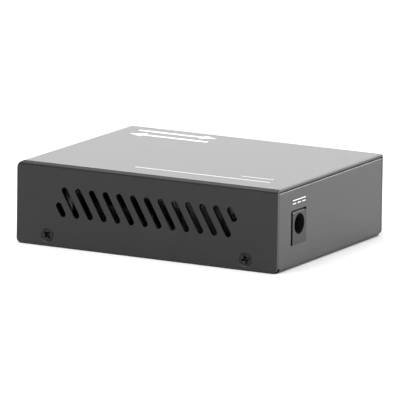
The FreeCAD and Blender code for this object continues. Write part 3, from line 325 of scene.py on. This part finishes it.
def moulded(name, dark, light, rough, textureMm=0.18, depthMm=0.003, **settings):
    # moulded plastic: slight flow marks in its colour and a fine spark-eroded texture
    material, tree, shader, place = startMaterial(name, settings)
    flow = noise(tree, place, plasticGrain["flowMm"], detail=2)
    grain = noise(tree, place, textureMm, detail=2)
    sheen = mapped(tree, grain, rough - plasticGrain["below"], rough + plasticGrain["above"], noiseRange)
    tree.links.new(twoTone(tree, flow, dark, light), shader.inputs["Base Color"])
    tree.links.new(sheen, shader.inputs["Roughness"])
    tree.links.new(bump(tree, grain, depthMm), shader.inputs["Normal"])
    return material


boardMask = {
    "dark": (0.003, 0.026, 0.012),
    "light": (0.005, 0.038, 0.017),
    "cloudMm": 9,           # drift of the colour
    "specular": 0.06,
    "rough": (0.75, 0.85),
    "weaveMm": 0.5,         # glass cloth that shows through, and how flat it lies along Z
    "weaveFlat": 0.01,
    "weaveDepthMm": 0.03,
}


def solderMask():
    material, tree, shader, place = startMaterial("solderMask", {"Specular IOR Level": boardMask["specular"]})
    weave = cells(tree, stretched(tree, place, (1, 1, boardMask["weaveFlat"])), boardMask["weaveMm"])
    cloud = noise(tree, place, boardMask["cloudMm"], detail=3)
    green = twoTone(tree, cloud, boardMask["dark"], boardMask["light"])
    tree.links.new(green, shader.inputs["Base Color"])
    tree.links.new(mapped(tree, cloud, *boardMask["rough"], noiseRange), shader.inputs["Roughness"])
    tree.links.new(bump(tree, weave, boardMask["weaveDepthMm"]), shader.inputs["Normal"])
    return material


# Each finish's darkest and lightest colour and its roughness, then what sets its grain apart.

finishes = {
    "powderCoat": powderCoat(),
    # the cover's coat, with painted shade on the vents' inner faces
    "ventShadedCoat": powderCoat("ventShadedCoat", vented=True),
    "screwCoat": powderCoat("screwCoat", 0.06, 0.7),
    "platedSteel": metal("platedSteel", (0.52, 0.52, 0.51), (0.62, 0.62, 0.61), 0.16, (1, 0.05, 1), 0.12),
    "satinSteel": metal("satinSteel", (0.36, 0.36, 0.355), (0.44, 0.44, 0.435), 0.2, (1, 0.05, 1), 0.12),
    # steel far darker than plating: painted shade, so the port shield seen through the vents shows no broad
    # reflection
    "shadeDarkenedSteel": metal("shadeDarkenedSteel", (0.13, 0.13, 0.128), (0.17, 0.17, 0.167), 0.46, (1, 0.05, 1), 0.12),
    "solderMask": solderMask(),
    "blackPlastic": moulded("blackPlastic", (0.016, 0.016, 0.017), (0.024, 0.024, 0.025), 0.42),
    "jackPlastic": moulded("jackPlastic", (0.009, 0.009, 0.0093), (0.014, 0.014, 0.0143), 0.34, 0.25, 0.005,
                           **{"Specular IOR Level": 0.26}),
    "goldPlate": metal("goldPlate", (0.80, 0.55, 0.20), (0.88, 0.64, 0.27), 0.2, grainMm=0.1),
    "copperWire": metal("copperWire", (0.55, 0.19, 0.08), (0.66, 0.26, 0.12), 0.28, grainMm=0.15),
    "tinPlate": metal("tinPlate", (0.58, 0.58, 0.56), (0.70, 0.70, 0.68), 0.3, grainMm=0.15),
    "lampLens": moulded("lampLens", (0.24, 0.40, 0.19), (0.28, 0.46, 0.22), 0.30, 0.8, 0.001,
                        **{"Coat Weight": 0.6, "Coat Roughness": 0.08}),
    "coilFerrite": moulded("coilFerrite", (0.035, 0.035, 0.037), (0.055, 0.055, 0.058), 0.62, 0.1, 0.006),
    "drawnCan": metal("drawnCan", (0.66, 0.66, 0.67), (0.76, 0.76, 0.77), 0.24, (1, 1, 0.04), 0.1),
    "chipCeramic": moulded("chipCeramic", (0.30, 0.21, 0.13), (0.38, 0.27, 0.17), 0.5, 0.1, 0.002),
    "packagePlastic": moulded("packagePlastic", (0.040, 0.040, 0.041), (0.052, 0.052, 0.053), 0.55, 0.12,
                              0.006),
    "knobPlastic": moulded("knobPlastic", (0.62, 0.62, 0.60), (0.70, 0.70, 0.68), 0.4),
    "whiteInk": moulded("whiteInk", (0.80, 0.80, 0.79), (0.86, 0.86, 0.85), 0.5, 0.2, 0.001),
}

nodeFinishes = {
    "powderCoat": ["base_tray"],
    "ventShadedCoat": ["top_cover"],
    "platedSteel": ["board_standoffs", "clock_crystal"],
    "satinSteel": ["fibre_cage", "fibre_cage_collar"],
    "shadeDarkenedSteel": ["copper_port_shield", "mode_switch_frame"],
    "solderMask": ["circuit_board"],
    "blackPlastic": ["copper_port_housing", "fibre_connector", "mode_switch_base", "lamp_holder"],
    "jackPlastic": ["power_jack_housing"],
    "goldPlate": ["fibre_connector_contacts", "mode_switch_wiper"],
    "tinPlate": ["power_jack_pin", "power_jack_spring", "mode_switch_terminals", "lamp_wires"],
    "packagePlastic": ["converter_chip", "memory_chip", "line_transformer", "regulator_chip"],
    "chipCeramic": ["chip_capacitors"],
    "knobPlastic": ["mode_switch_knob"],
}
for finish, names in nodeFinishes.items():
    for name in names:
        for held in nodes[name].material_slots:
            held.material = finishes[finish]
print("finishes made:", len(finishes))


# Cross recesses, for the screws and for the capacitors' scored tops, and the screws' threads.

recess = {
    # how steeply its walls fall: mm down for each mm inwards
    "sideFall": 5.5,
    "endFall": 1.5,
    "pitFall": 1.5,
}
thread = {
    "rings": 90,
    "fadeAbove": 0.2,       # mm over which it runs out under the head
    "fadeBelow": 0.35,      # mm over which it runs out at the tip
    "tipTaper": 0.8,        # share of its depth by which the tip is thinner
}


def crossHead(radius, screw, steps, rings=44, crown=0.0):
    # height(x, y) = crown - the least of the recess depth, its side wall and its end wall, and no less
    # than the cone in its middle; never above the head
    angle = np.linspace(0, 2 * np.pi, steps, endpoint=False)
    span = np.linspace(0, 1, rings)[:, None] * radius
    x, y = span * np.cos(angle), span * np.sin(angle)
    narrow, wide = np.minimum(abs(x), abs(y)), np.maximum(abs(x), abs(y))
    sideWall = (screw["crossHalfWidth"] - narrow) * recess["sideFall"]
    endWall = (screw["crossReach"] - wide) * recess["endFall"]
    pit = (screw.get("pitRadius", 0) - span) * recess["pitFall"]
    depth = np.clip(np.maximum(np.minimum(sideWall, endWall), pit), 0, screw["crossDepth"])
    dome = crown * (1 - (span / radius) ** 2)
    return np.stack([x, y, dome - depth + 0 * angle], -1)


def threadedShank(screw, low, high, steps):
    # radius(z, a) = full radius less the thread's depth times how far z is from the helix's crest
    angle = np.linspace(0, 2 * np.pi, steps, endpoint=False)
    height = np.linspace(high, low, thread["rings"])[:, None]
    turn = (height / screw["threadPitch"] - angle / (2 * np.pi)) % 1
    valley = 1 - abs(2 * turn - 1)
    full = np.clip((height - low) / thread["fadeBelow"], 0, 1)
    fade = full * np.clip((high - height) / thread["fadeAbove"], 0, 1)
    radius = screw["shankRadius"] - screw["threadDepth"] * (valley * fade + thread["tipTaper"] * (1 - full))
    return np.stack([radius * np.cos(angle), radius * np.sin(angle), height + 0 * angle], -1)


# Cover screws: flat heads with a tapered cross recess, on threaded shanks.

coverScrew = {
    "length": 4.0,
    "headRadius": 2.08,
    "rim": 0.1,
    "sunk": 0.04,           # how far the head lies below the wall's face
    "shankRadius": 1.15,
    "plainNeck": 0.02,      # between the head and the thread
    "threadPitch": 0.45,
    "threadDepth": 0.22,
    "crossReach": 1.5,
    "crossHalfWidth": 0.38,
    "crossDepth": 1.15,
    "pitRadius": 0.95,      # the cone in the middle of the cross
    "turns": {(1, -1): 45, (1, 1): 16, (-1, -1): 70, (-1, 1): 24},      # degrees, by side and end
    "steps": 120,
}


def coverScrewSurfaces():
    # head, countersunk cone, shank and tip, ring below ring about the screw's axis
    steps, tipLevel = coverScrew["steps"], -coverScrew["length"]
    radius, rim, thin = coverScrew["headRadius"], coverScrew["rim"], coverScrew["shankRadius"]
    head = crossHead(radius - rim, coverScrew, steps)
    neck = thin - radius - rim
    cone = revolve([(radius, -rim), (thin, neck)], steps)
    shank = threadedShank(coverScrew, tipLevel, neck - coverScrew["plainNeck"], steps)
    tipRadius = thin - thread["tipTaper"] * coverScrew["threadDepth"]
    tip = revolve([(tipRadius, tipLevel), (0, tipLevel)], steps)
    whole = np.concatenate([head, cone, shank, tip])
    placed = []
    for low, high in solidBoxes("cover_screws"):
        middle = (low + high) / 2
        side, end = (1 if middle[0] > 0 else -1), (1 if middle[1] > 0 else -1)
        seat = (high[0] if side > 0 else low[0]) - side * coverScrew["sunk"]
        spin = Matrix.Rotation(math.radians(coverScrew["turns"][side, end]), 4, "Z")
        out = Matrix.Rotation(math.radians(90 * side), 4, "Y")
        placed.append(turnedTo(whole, Matrix.Translation((seat, middle[1], middle[2])) @ out @ spin))
    return placed


makePiece("coverScrews", coverScrewSurfaces(), finishes["screwCoat"], "case",
          ["cover_screws"])


# Board screws: domed pan heads on the same kind of shank.

boardScrew = {
    "length": 4.6,
    "headRadius": 2.7,
    "headHeight": 1.9,
    "flatRadius": 2.05,
    "crown": 0.28,
    "sideHeight": 0.9,      # where the head's rounding starts
    "footEdge": 0.12,
    "arcPoints": 8,
    "shankRadius": 1.45,
    "tipRadius": 1.16,
    "plainNeck": 0.05,      # between the head and the thread
    "threadPitch": 0.5,
    "threadDepth": 0.26,
    "crossReach": 1.5,
    "crossHalfWidth": 0.36,
    "crossDepth": 1.15,
    "pitRadius": 0.9,
    "turns": (20, 5, 65, 50),       # degrees
    "steps": 96,
}


def boardScrewSurfaces():
    # head, side, shank and tip, ring below ring; the head's rounding is a quarter of an ellipse
    steps, tipLevel = boardScrew["steps"], -boardScrew["length"]
    flat, wide, thin = boardScrew["flatRadius"], boardScrew["headRadius"], boardScrew["shankRadius"]
    level, foot = boardScrew["headHeight"] - boardScrew["crown"], boardScrew["sideHeight"]
    edge = boardScrew["footEdge"]
    head = crossHead(flat, boardScrew, steps, crown=boardScrew["crown"])
    head[..., 2] += level
    arc = [(flat + (wide - flat) * math.sin(a), foot + (level - foot) * math.cos(a))
           for a in np.linspace(0, np.pi / 2, boardScrew["arcPoints"])]
    side = revolve(arc[1:] + [(wide, edge), (wide - edge, 0), (thin, 0)], steps)
    shank = threadedShank(boardScrew, tipLevel, -boardScrew["plainNeck"], steps)
    tip = revolve([(boardScrew["tipRadius"], tipLevel), (0, tipLevel)], steps)
    whole = np.concatenate([head, side, shank, tip])
    placed = []
    for (low, high), turn in zip(solidBoxes("board_screws"), boardScrew["turns"]):
        middle = (low + high) / 2
        move = Matrix.Translation((middle[0], middle[1], high[2] - boardScrew["headHeight"]))
        placed.append(turnedTo(whole, move @ Matrix.Rotation(math.radians(turn), 4, "Z")))
    return placed


makePiece("boardScrews", boardScrewSurfaces(), finishes["platedSteel"], "case",
          ["board_screws"])


# Lamps: a full round dome on a straight body.

lampShape = {"bodyEdge": 0.15, "domeRows": 14, "steps": 48}


def lampSurfaces():
    # a half circle and a straight body turned about the lamp's axis
    placed, edge = [], lampShape["bodyEdge"]
    for low, high in solidBoxes("lamps"):
        radius, length = (high[0] - low[0]) / 2, high[1] - low[1]
        rise = np.linspace(0, np.pi / 2, lampShape["domeRows"])
        profile = [(radius * math.sin(a), -radius * (1 - math.cos(a))) for a in rise]
        profile += [(radius, edge - length), (radius - edge, -length), (0, -length)]
        out = Matrix.Rotation(math.radians(90), 4, "X")
        move = Matrix.Translation(((low[0] + high[0]) / 2, low[1], (low[2] + high[2]) / 2))
        placed.append(turnedTo(revolve(profile, lampShape["steps"]), move @ out))
    return placed


makePiece("lampLenses", lampSurfaces(), finishes["lampLens"], "case", ["lamps"])


# Capacitors: a black sleeve with a bead near its foot, and a bare top that is scored to vent.

capacitor = {
    # shares of the radius and the height, from the foot up and in to the bare top
    "sleeve": [(0, 0), (0.9, 0), (0.97, 0.02), (1, 0.07), (1, 0.15), (0.93, 0.19), (0.93, 0.22), (1, 0.27),
               (1, 0.94), (0.98, 0.975), (0.92, 0.995), (0.84, 1), (0.80, 0.995), (0.79, 0.985)],
    "score": {"crossReach": 1.9, "crossHalfWidth": 0.09, "crossDepth": 0.09},
    "steps": 64,
    "topRings": 30,
}


def capacitorSurfaces():
    # the sleeve is its profile turned about the can's axis, and the top is a shallow cross in a flat disc
    sleeves, tops, steps = [], [], capacitor["steps"]
    for low, high in solidBoxes("bulk_capacitors"):
        radius, tall = (high[0] - low[0]) / 2, high[2] - low[2]
        place = Matrix.Translation(((low[0] + high[0]) / 2, (low[1] + high[1]) / 2, low[2]))
        profile = [(wide * radius, up * tall) for wide, up in capacitor["sleeve"]]
        topRadius, topLevel = profile[-1]
        top = crossHead(topRadius, capacitor["score"], steps, capacitor["topRings"])
        top[..., 2] += topLevel
        sleeves.append(turnedTo(revolve(profile, steps), place))
        tops.append(turnedTo(top, place))
    return sleeves, tops


sleeves, canTops = capacitorSurfaces()
makePiece("capacitorSleeves", sleeves, finishes["blackPlastic"], "case",
          ["bulk_capacitors"])
makePiece("capacitorTops", canTops, finishes["drawnCan"], "case")


# Coils: a square ferrite frame with cut corners round a drum, and the winding in the gap between them.

coil = {
    "drumShare": 0.72,      # of half the coil's width
    "gapShare": 0.86,
    "gapDepth": 0.5,
    "cutCorner": 0.4,       # of the half width, taken off each corner
    "drumEdge": 0.15,
    "frameEdge": 0.3,
    "smallEdge": 0.1,
    "steps": 96,
    "wirePoints": 13,
}


def squareRadius(angle, half, corner):
    # distance from the middle to a square's side, held back so that the square's corners are cut off
    straight = half / np.maximum(abs(np.cos(angle)), abs(np.sin(angle)))
    cut = (2 - corner) * half / (abs(np.cos(angle)) + abs(np.sin(angle)))
    return np.minimum(straight, cut)


def coilSurfaces():
    # round rings from the drum's middle out over the gap, then square ones down the frame to its foot
    frames, windings, steps = [], [], coil["steps"]
    drumEdge, edge, small = coil["drumEdge"], coil["frameEdge"], coil["smallEdge"]
    angle = np.linspace(0, 2 * np.pi, steps, endpoint=False)
    for low, high in solidBoxes("power_coils"):
        half, tall = (high[0] - low[0]) / 2, high[2] - low[2]
        drum, gap, deep = half * coil["drumShare"], half * coil["gapShare"], tall - coil["gapDepth"]
        rows = [(0, tall), (drum - drumEdge, tall), (drum, tall - drumEdge), (drum, deep), (gap, deep),
                (gap, tall - small), (gap + small, tall)]
        rings = [revolve(rows, steps)]
        for inset, level in ((edge, tall), (0, tall - edge), (0, small), (small, 0)):
            reach = squareRadius(angle, half - inset, coil["cutCorner"])
            ring = np.stack([reach * np.cos(angle), reach * np.sin(angle), level + 0 * angle], -1)
            rings.append(ring[None])
        rings.append(revolve([(0, 0)], steps))
        place = Matrix.Translation(((low[0] + high[0]) / 2, (low[1] + high[1]) / 2, low[2]))
        frames.append(turnedTo(np.concatenate(rings), place))
        wire = (gap - drum) / 2
        about = np.linspace(0, 2 * np.pi, coil["wirePoints"])
        ring = np.stack([(drum + gap) / 2 + wire * np.cos(about), deep + wire * (1 + np.sin(about))], -1)
        windings.append(turnedTo(revolve(ring, steps), place))
    return frames, windings


coilFrames, coilWindings = coilSurfaces()
makePiece("coilFrames", coilFrames, finishes["coilFerrite"], "case", ["power_coils"])
makePiece("coilWindings", coilWindings, finishes["copperWire"], "case")


# The copper port's eight contacts, as round wire.

portWire = {
    "radius": 0.2,
    "tailInset": 0.18,      # of the wire's middle from the plain contact's back
    "noseInset": 0.2,       # and from its front
    "noseLean": 0.05,       # how far the front slopes back at its top
    "noseDrop": 0.35,
    "slant": (7.8, 3.2),    # how far the wire then runs back, and down
    "bend": 0.7,
    "bendPoints": 8,
    "sides": 14,
}


def portWireSurfaces():
    # up behind the moulding, forward over it, round the front and slanting back down into the mouth
    wires, radius, (back, down) = [], portWire["radius"], portWire["slant"]
    for low, high in solidBoxes("copper_port_contacts"):
        middle, top = (low[0] + high[0]) / 2, high[2] - radius
        tail, nose = high[1] - portWire["tailInset"], low[1] + portWire["noseInset"]
        bent = top - portWire["noseDrop"]
        corners = [(middle, tail, low[2]), (middle, tail, top), (middle, nose + portWire["noseLean"], top),
                   (middle, nose, bent), (middle, nose + back, bent - down)]
        wires.append(tube(roundedPath(corners, portWire["bend"], portWire["bendPoints"]), radius,
                          portWire["sides"]))
    return wires


makePiece("portWires", portWireSurfaces(), finishes["goldPlate"], "case",
          ["copper_port_contacts"])


# Printed marks: a plain two-way arrow and two rules on the top, and the direct-current sign over the jack.

topMarks = {
    "lift": 0.02,
    "arrowCentre": (-26.0, -24.6),
    "arrowLength": 29.0,
    "arrowApart": 6.4,
    "arrowStem": 1.9,
    "arrowHead": (5.4, 5.6),        # length and width
    "longRule": (26.7, 14.9, 0.55, 48.6),       # x, y, width along X and length along Y
    "shortRule": (22.0, 32.2, 0.45, 11.6),
}
rearMark = {
    "centre": (21.9, 21.35),
    "width": 8.6,
    "stroke": 0.36,
    "gap": 1.05,
    "dashes": 3,
    "dashShare": 0.26,      # of the width, each
    "lift": 0.02,
}


def flatStrip(left, right, low, high, level):
    # a thin field of ink: four corners, x then y
    return np.array([[(left, low, level), (right, low, level)], [(left, high, level), (right, high, level)]])


def arrowSurfaces(centre, way):
    # a stem and a triangular head that share the arrow's axis along Y
    x, y = centre
    headLong, headWide = topMarks["arrowHead"]
    half = topMarks["arrowLength"] / 2
    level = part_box("top_cover")[1].z / mm + topMarks["lift"]
    neck = y + way * (half - headLong)
    thin = topMarks["arrowStem"] / 2
    stem = flatStrip(x - thin, x + thin, y - way * half, neck, level)
    tip = y + way * half
    head = np.array([[(x - headWide / 2, neck, level), (x + headWide / 2, neck, level)],
                     [(x, tip, level), (x, tip, level)]])
    return [stem, head]


def topMarkSurfaces():
    # two arrows that point apart, side by side, and two rules
    x, y = topMarks["arrowCentre"]
    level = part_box("top_cover")[1].z / mm + topMarks["lift"]
    shift = topMarks["arrowApart"] / 2
    surfaces = arrowSurfaces((x - shift, y), 1) + arrowSurfaces((x + shift, y), -1)
    for name in ("longRule", "shortRule"):
        x, y, wide, long = topMarks[name]
        surfaces.append(flatStrip(x - wide / 2, x + wide / 2, y - long / 2, y + long / 2, level))
    return surfaces


def rearMarkSurfaces():
    # one long rule over a row of dashes, drawn flat and then stood up on the rear panel
    x, z = rearMark["centre"]
    half, stroke = rearMark["width"] / 2, rearMark["stroke"] / 2
    high, low = z + rearMark["gap"] / 2, z - rearMark["gap"] / 2
    strips = [(x - half, x + half, high - stroke, high + stroke)]
    dash = rearMark["width"] * rearMark["dashShare"]
    pitch = (rearMark["width"] - dash) / (rearMark["dashes"] - 1)
    strips += [(x - half + pitch * index, x - half + pitch * index + dash, low - stroke, low + stroke)
               for index in range(rearMark["dashes"])]
    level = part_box("base_tray")[1].y / mm + rearMark["lift"]
    flat = [flatStrip(*strip, 0) for strip in strips]
    return [np.stack([field[..., 0], field[..., 2] + level, field[..., 1]], -1) for field in flat]


makePiece("topPrint", topMarkSurfaces(), finishes["whiteInk"], "case", closed=False)
makePiece("rearPrint", rearMarkSurfaces(), finishes["whiteInk"], "case", closed=False)


# Camera at the photograph's angle.

shot = {
    "azimuth": 118.425,
    "elevation": 11.281,
    "roll": 0.763,
    "distance": 2.0486,
    "aim": (0.0001, -0.00018, 0.01271),
    "lens": 572.0,
    "sensor": 36.0,
    "clip": (0.05, 100),
}


def makeCamera():
    lens = bpy.data.cameras.new("camera")
    camera = bpy.data.objects.new("camera", lens)
    bpy.context.scene.collection.objects.link(camera)
    lens.lens, lens.sensor_width = shot["lens"], shot["sensor"]
    turn, rise, roll = (math.radians(shot[key]) for key in ("azimuth", "elevation", "roll"))
    back = Vector((math.sin(turn) * math.cos(rise), -math.cos(turn) * math.cos(rise), math.sin(rise)))
    level = Vector((math.cos(turn), math.sin(turn), 0))
    above = back.cross(level)
    right = level * math.cos(roll) + above * math.sin(roll)
    top = above * math.cos(roll) - level * math.sin(roll)
    camera.matrix_world = Matrix.Translation(Vector(shot["aim"]) + back * shot["distance"]) @ Matrix(
        (right, top, back)).transposed().to_4x4()
    lens.clip_start, lens.clip_end = shot["clip"]
    bpy.context.scene.camera = camera
    bpy.context.scene.view_settings.view_transform = "Standard"


# Studio: a pale floor, a soft sky, and large soft lamps.

studio = {
    "floorSide": 12.0,
    "floorDrop": 0.05,      # mm below the feet, so that the two faces never share a plane
    "floorColour": (0.80, 0.80, 0.80),
    "floorMottle": 0.985,   # of that colour, where it is darkest
    "floorCloudMm": 300,
    "floorGloss": {"Roughness": 0.9, "Specular IOR Level": 0.1},
    "skyStrength": 0.25,
    "lamps": {
        # name: (place, aimed at, width, height, radiance)
        "overhead": ((0.6, -0.4, 1.8), (0, 0, 0), 2.2, 2.2, 3.1),
        "overRear": ((0.5, 0.5, 1.7), (0, 0, 0), 1.6, 1.6, 1.8),
        "backLow": ((-1.5, -0.75, 0.45), (0, 0, 0.03), 2.4, 0.8, 3.2),
        "rearLow": ((-1.3, 0.55, 0.33), (0, 0, 0.03), 1.4, 0.62, 10.7),
    },
}


def makeFloor():
    half, level = studio["floorSide"] / 2, -studio["floorDrop"] * mm
    mesh = bpy.data.meshes.new("floor")
    corners = [(-half, -half, level), (half, -half, level), (half, half, level), (-half, half, level)]
    mesh.from_pydata(corners, [], [(0, 1, 2, 3)])
    floor = bpy.data.objects.new("floor", mesh)
    bpy.context.scene.collection.objects.link(floor)
    material, tree, shader, place = startMaterial("floorPaper", studio["floorGloss"])
    cloud = noise(tree, place, studio["floorCloudMm"], detail=2)
    light = studio["floorColour"]
    dark = tuple(channel * studio["floorMottle"] for channel in light)
    tree.links.new(twoTone(tree, cloud, dark, light), shader.inputs["Base Color"])
    mesh.materials.append(material)


def makeLamps():
    for name, (place, aim, wide, high, radiance) in studio["lamps"].items():
        light = bpy.data.lights.new(name, "AREA")
        light.shape = "RECTANGLE"
        light.size, light.size_y = wide, high
        light.energy = radiance * wide * high * math.pi
        holder = bpy.data.objects.new(name, light)
        holder.location = place
        holder.rotation_euler = (Vector(aim) - Vector(place)).to_track_quat("-Z", "Y").to_euler()
        holder.visible_camera = False
        bpy.context.scene.collection.objects.link(holder)


def makeSky():
    sky = bpy.data.worlds.new("sky")
    sky.use_nodes = True
    shade = sky.node_tree.nodes["Background"]
    shade.inputs["Color"].default_value = (1, 1, 1, 1)
    shade.inputs["Strength"].default_value = studio["skyStrength"]
    bpy.context.scene.world = sky


makeCamera()
makeFloor()
makeLamps()
makeSky()
print("camera and studio set")
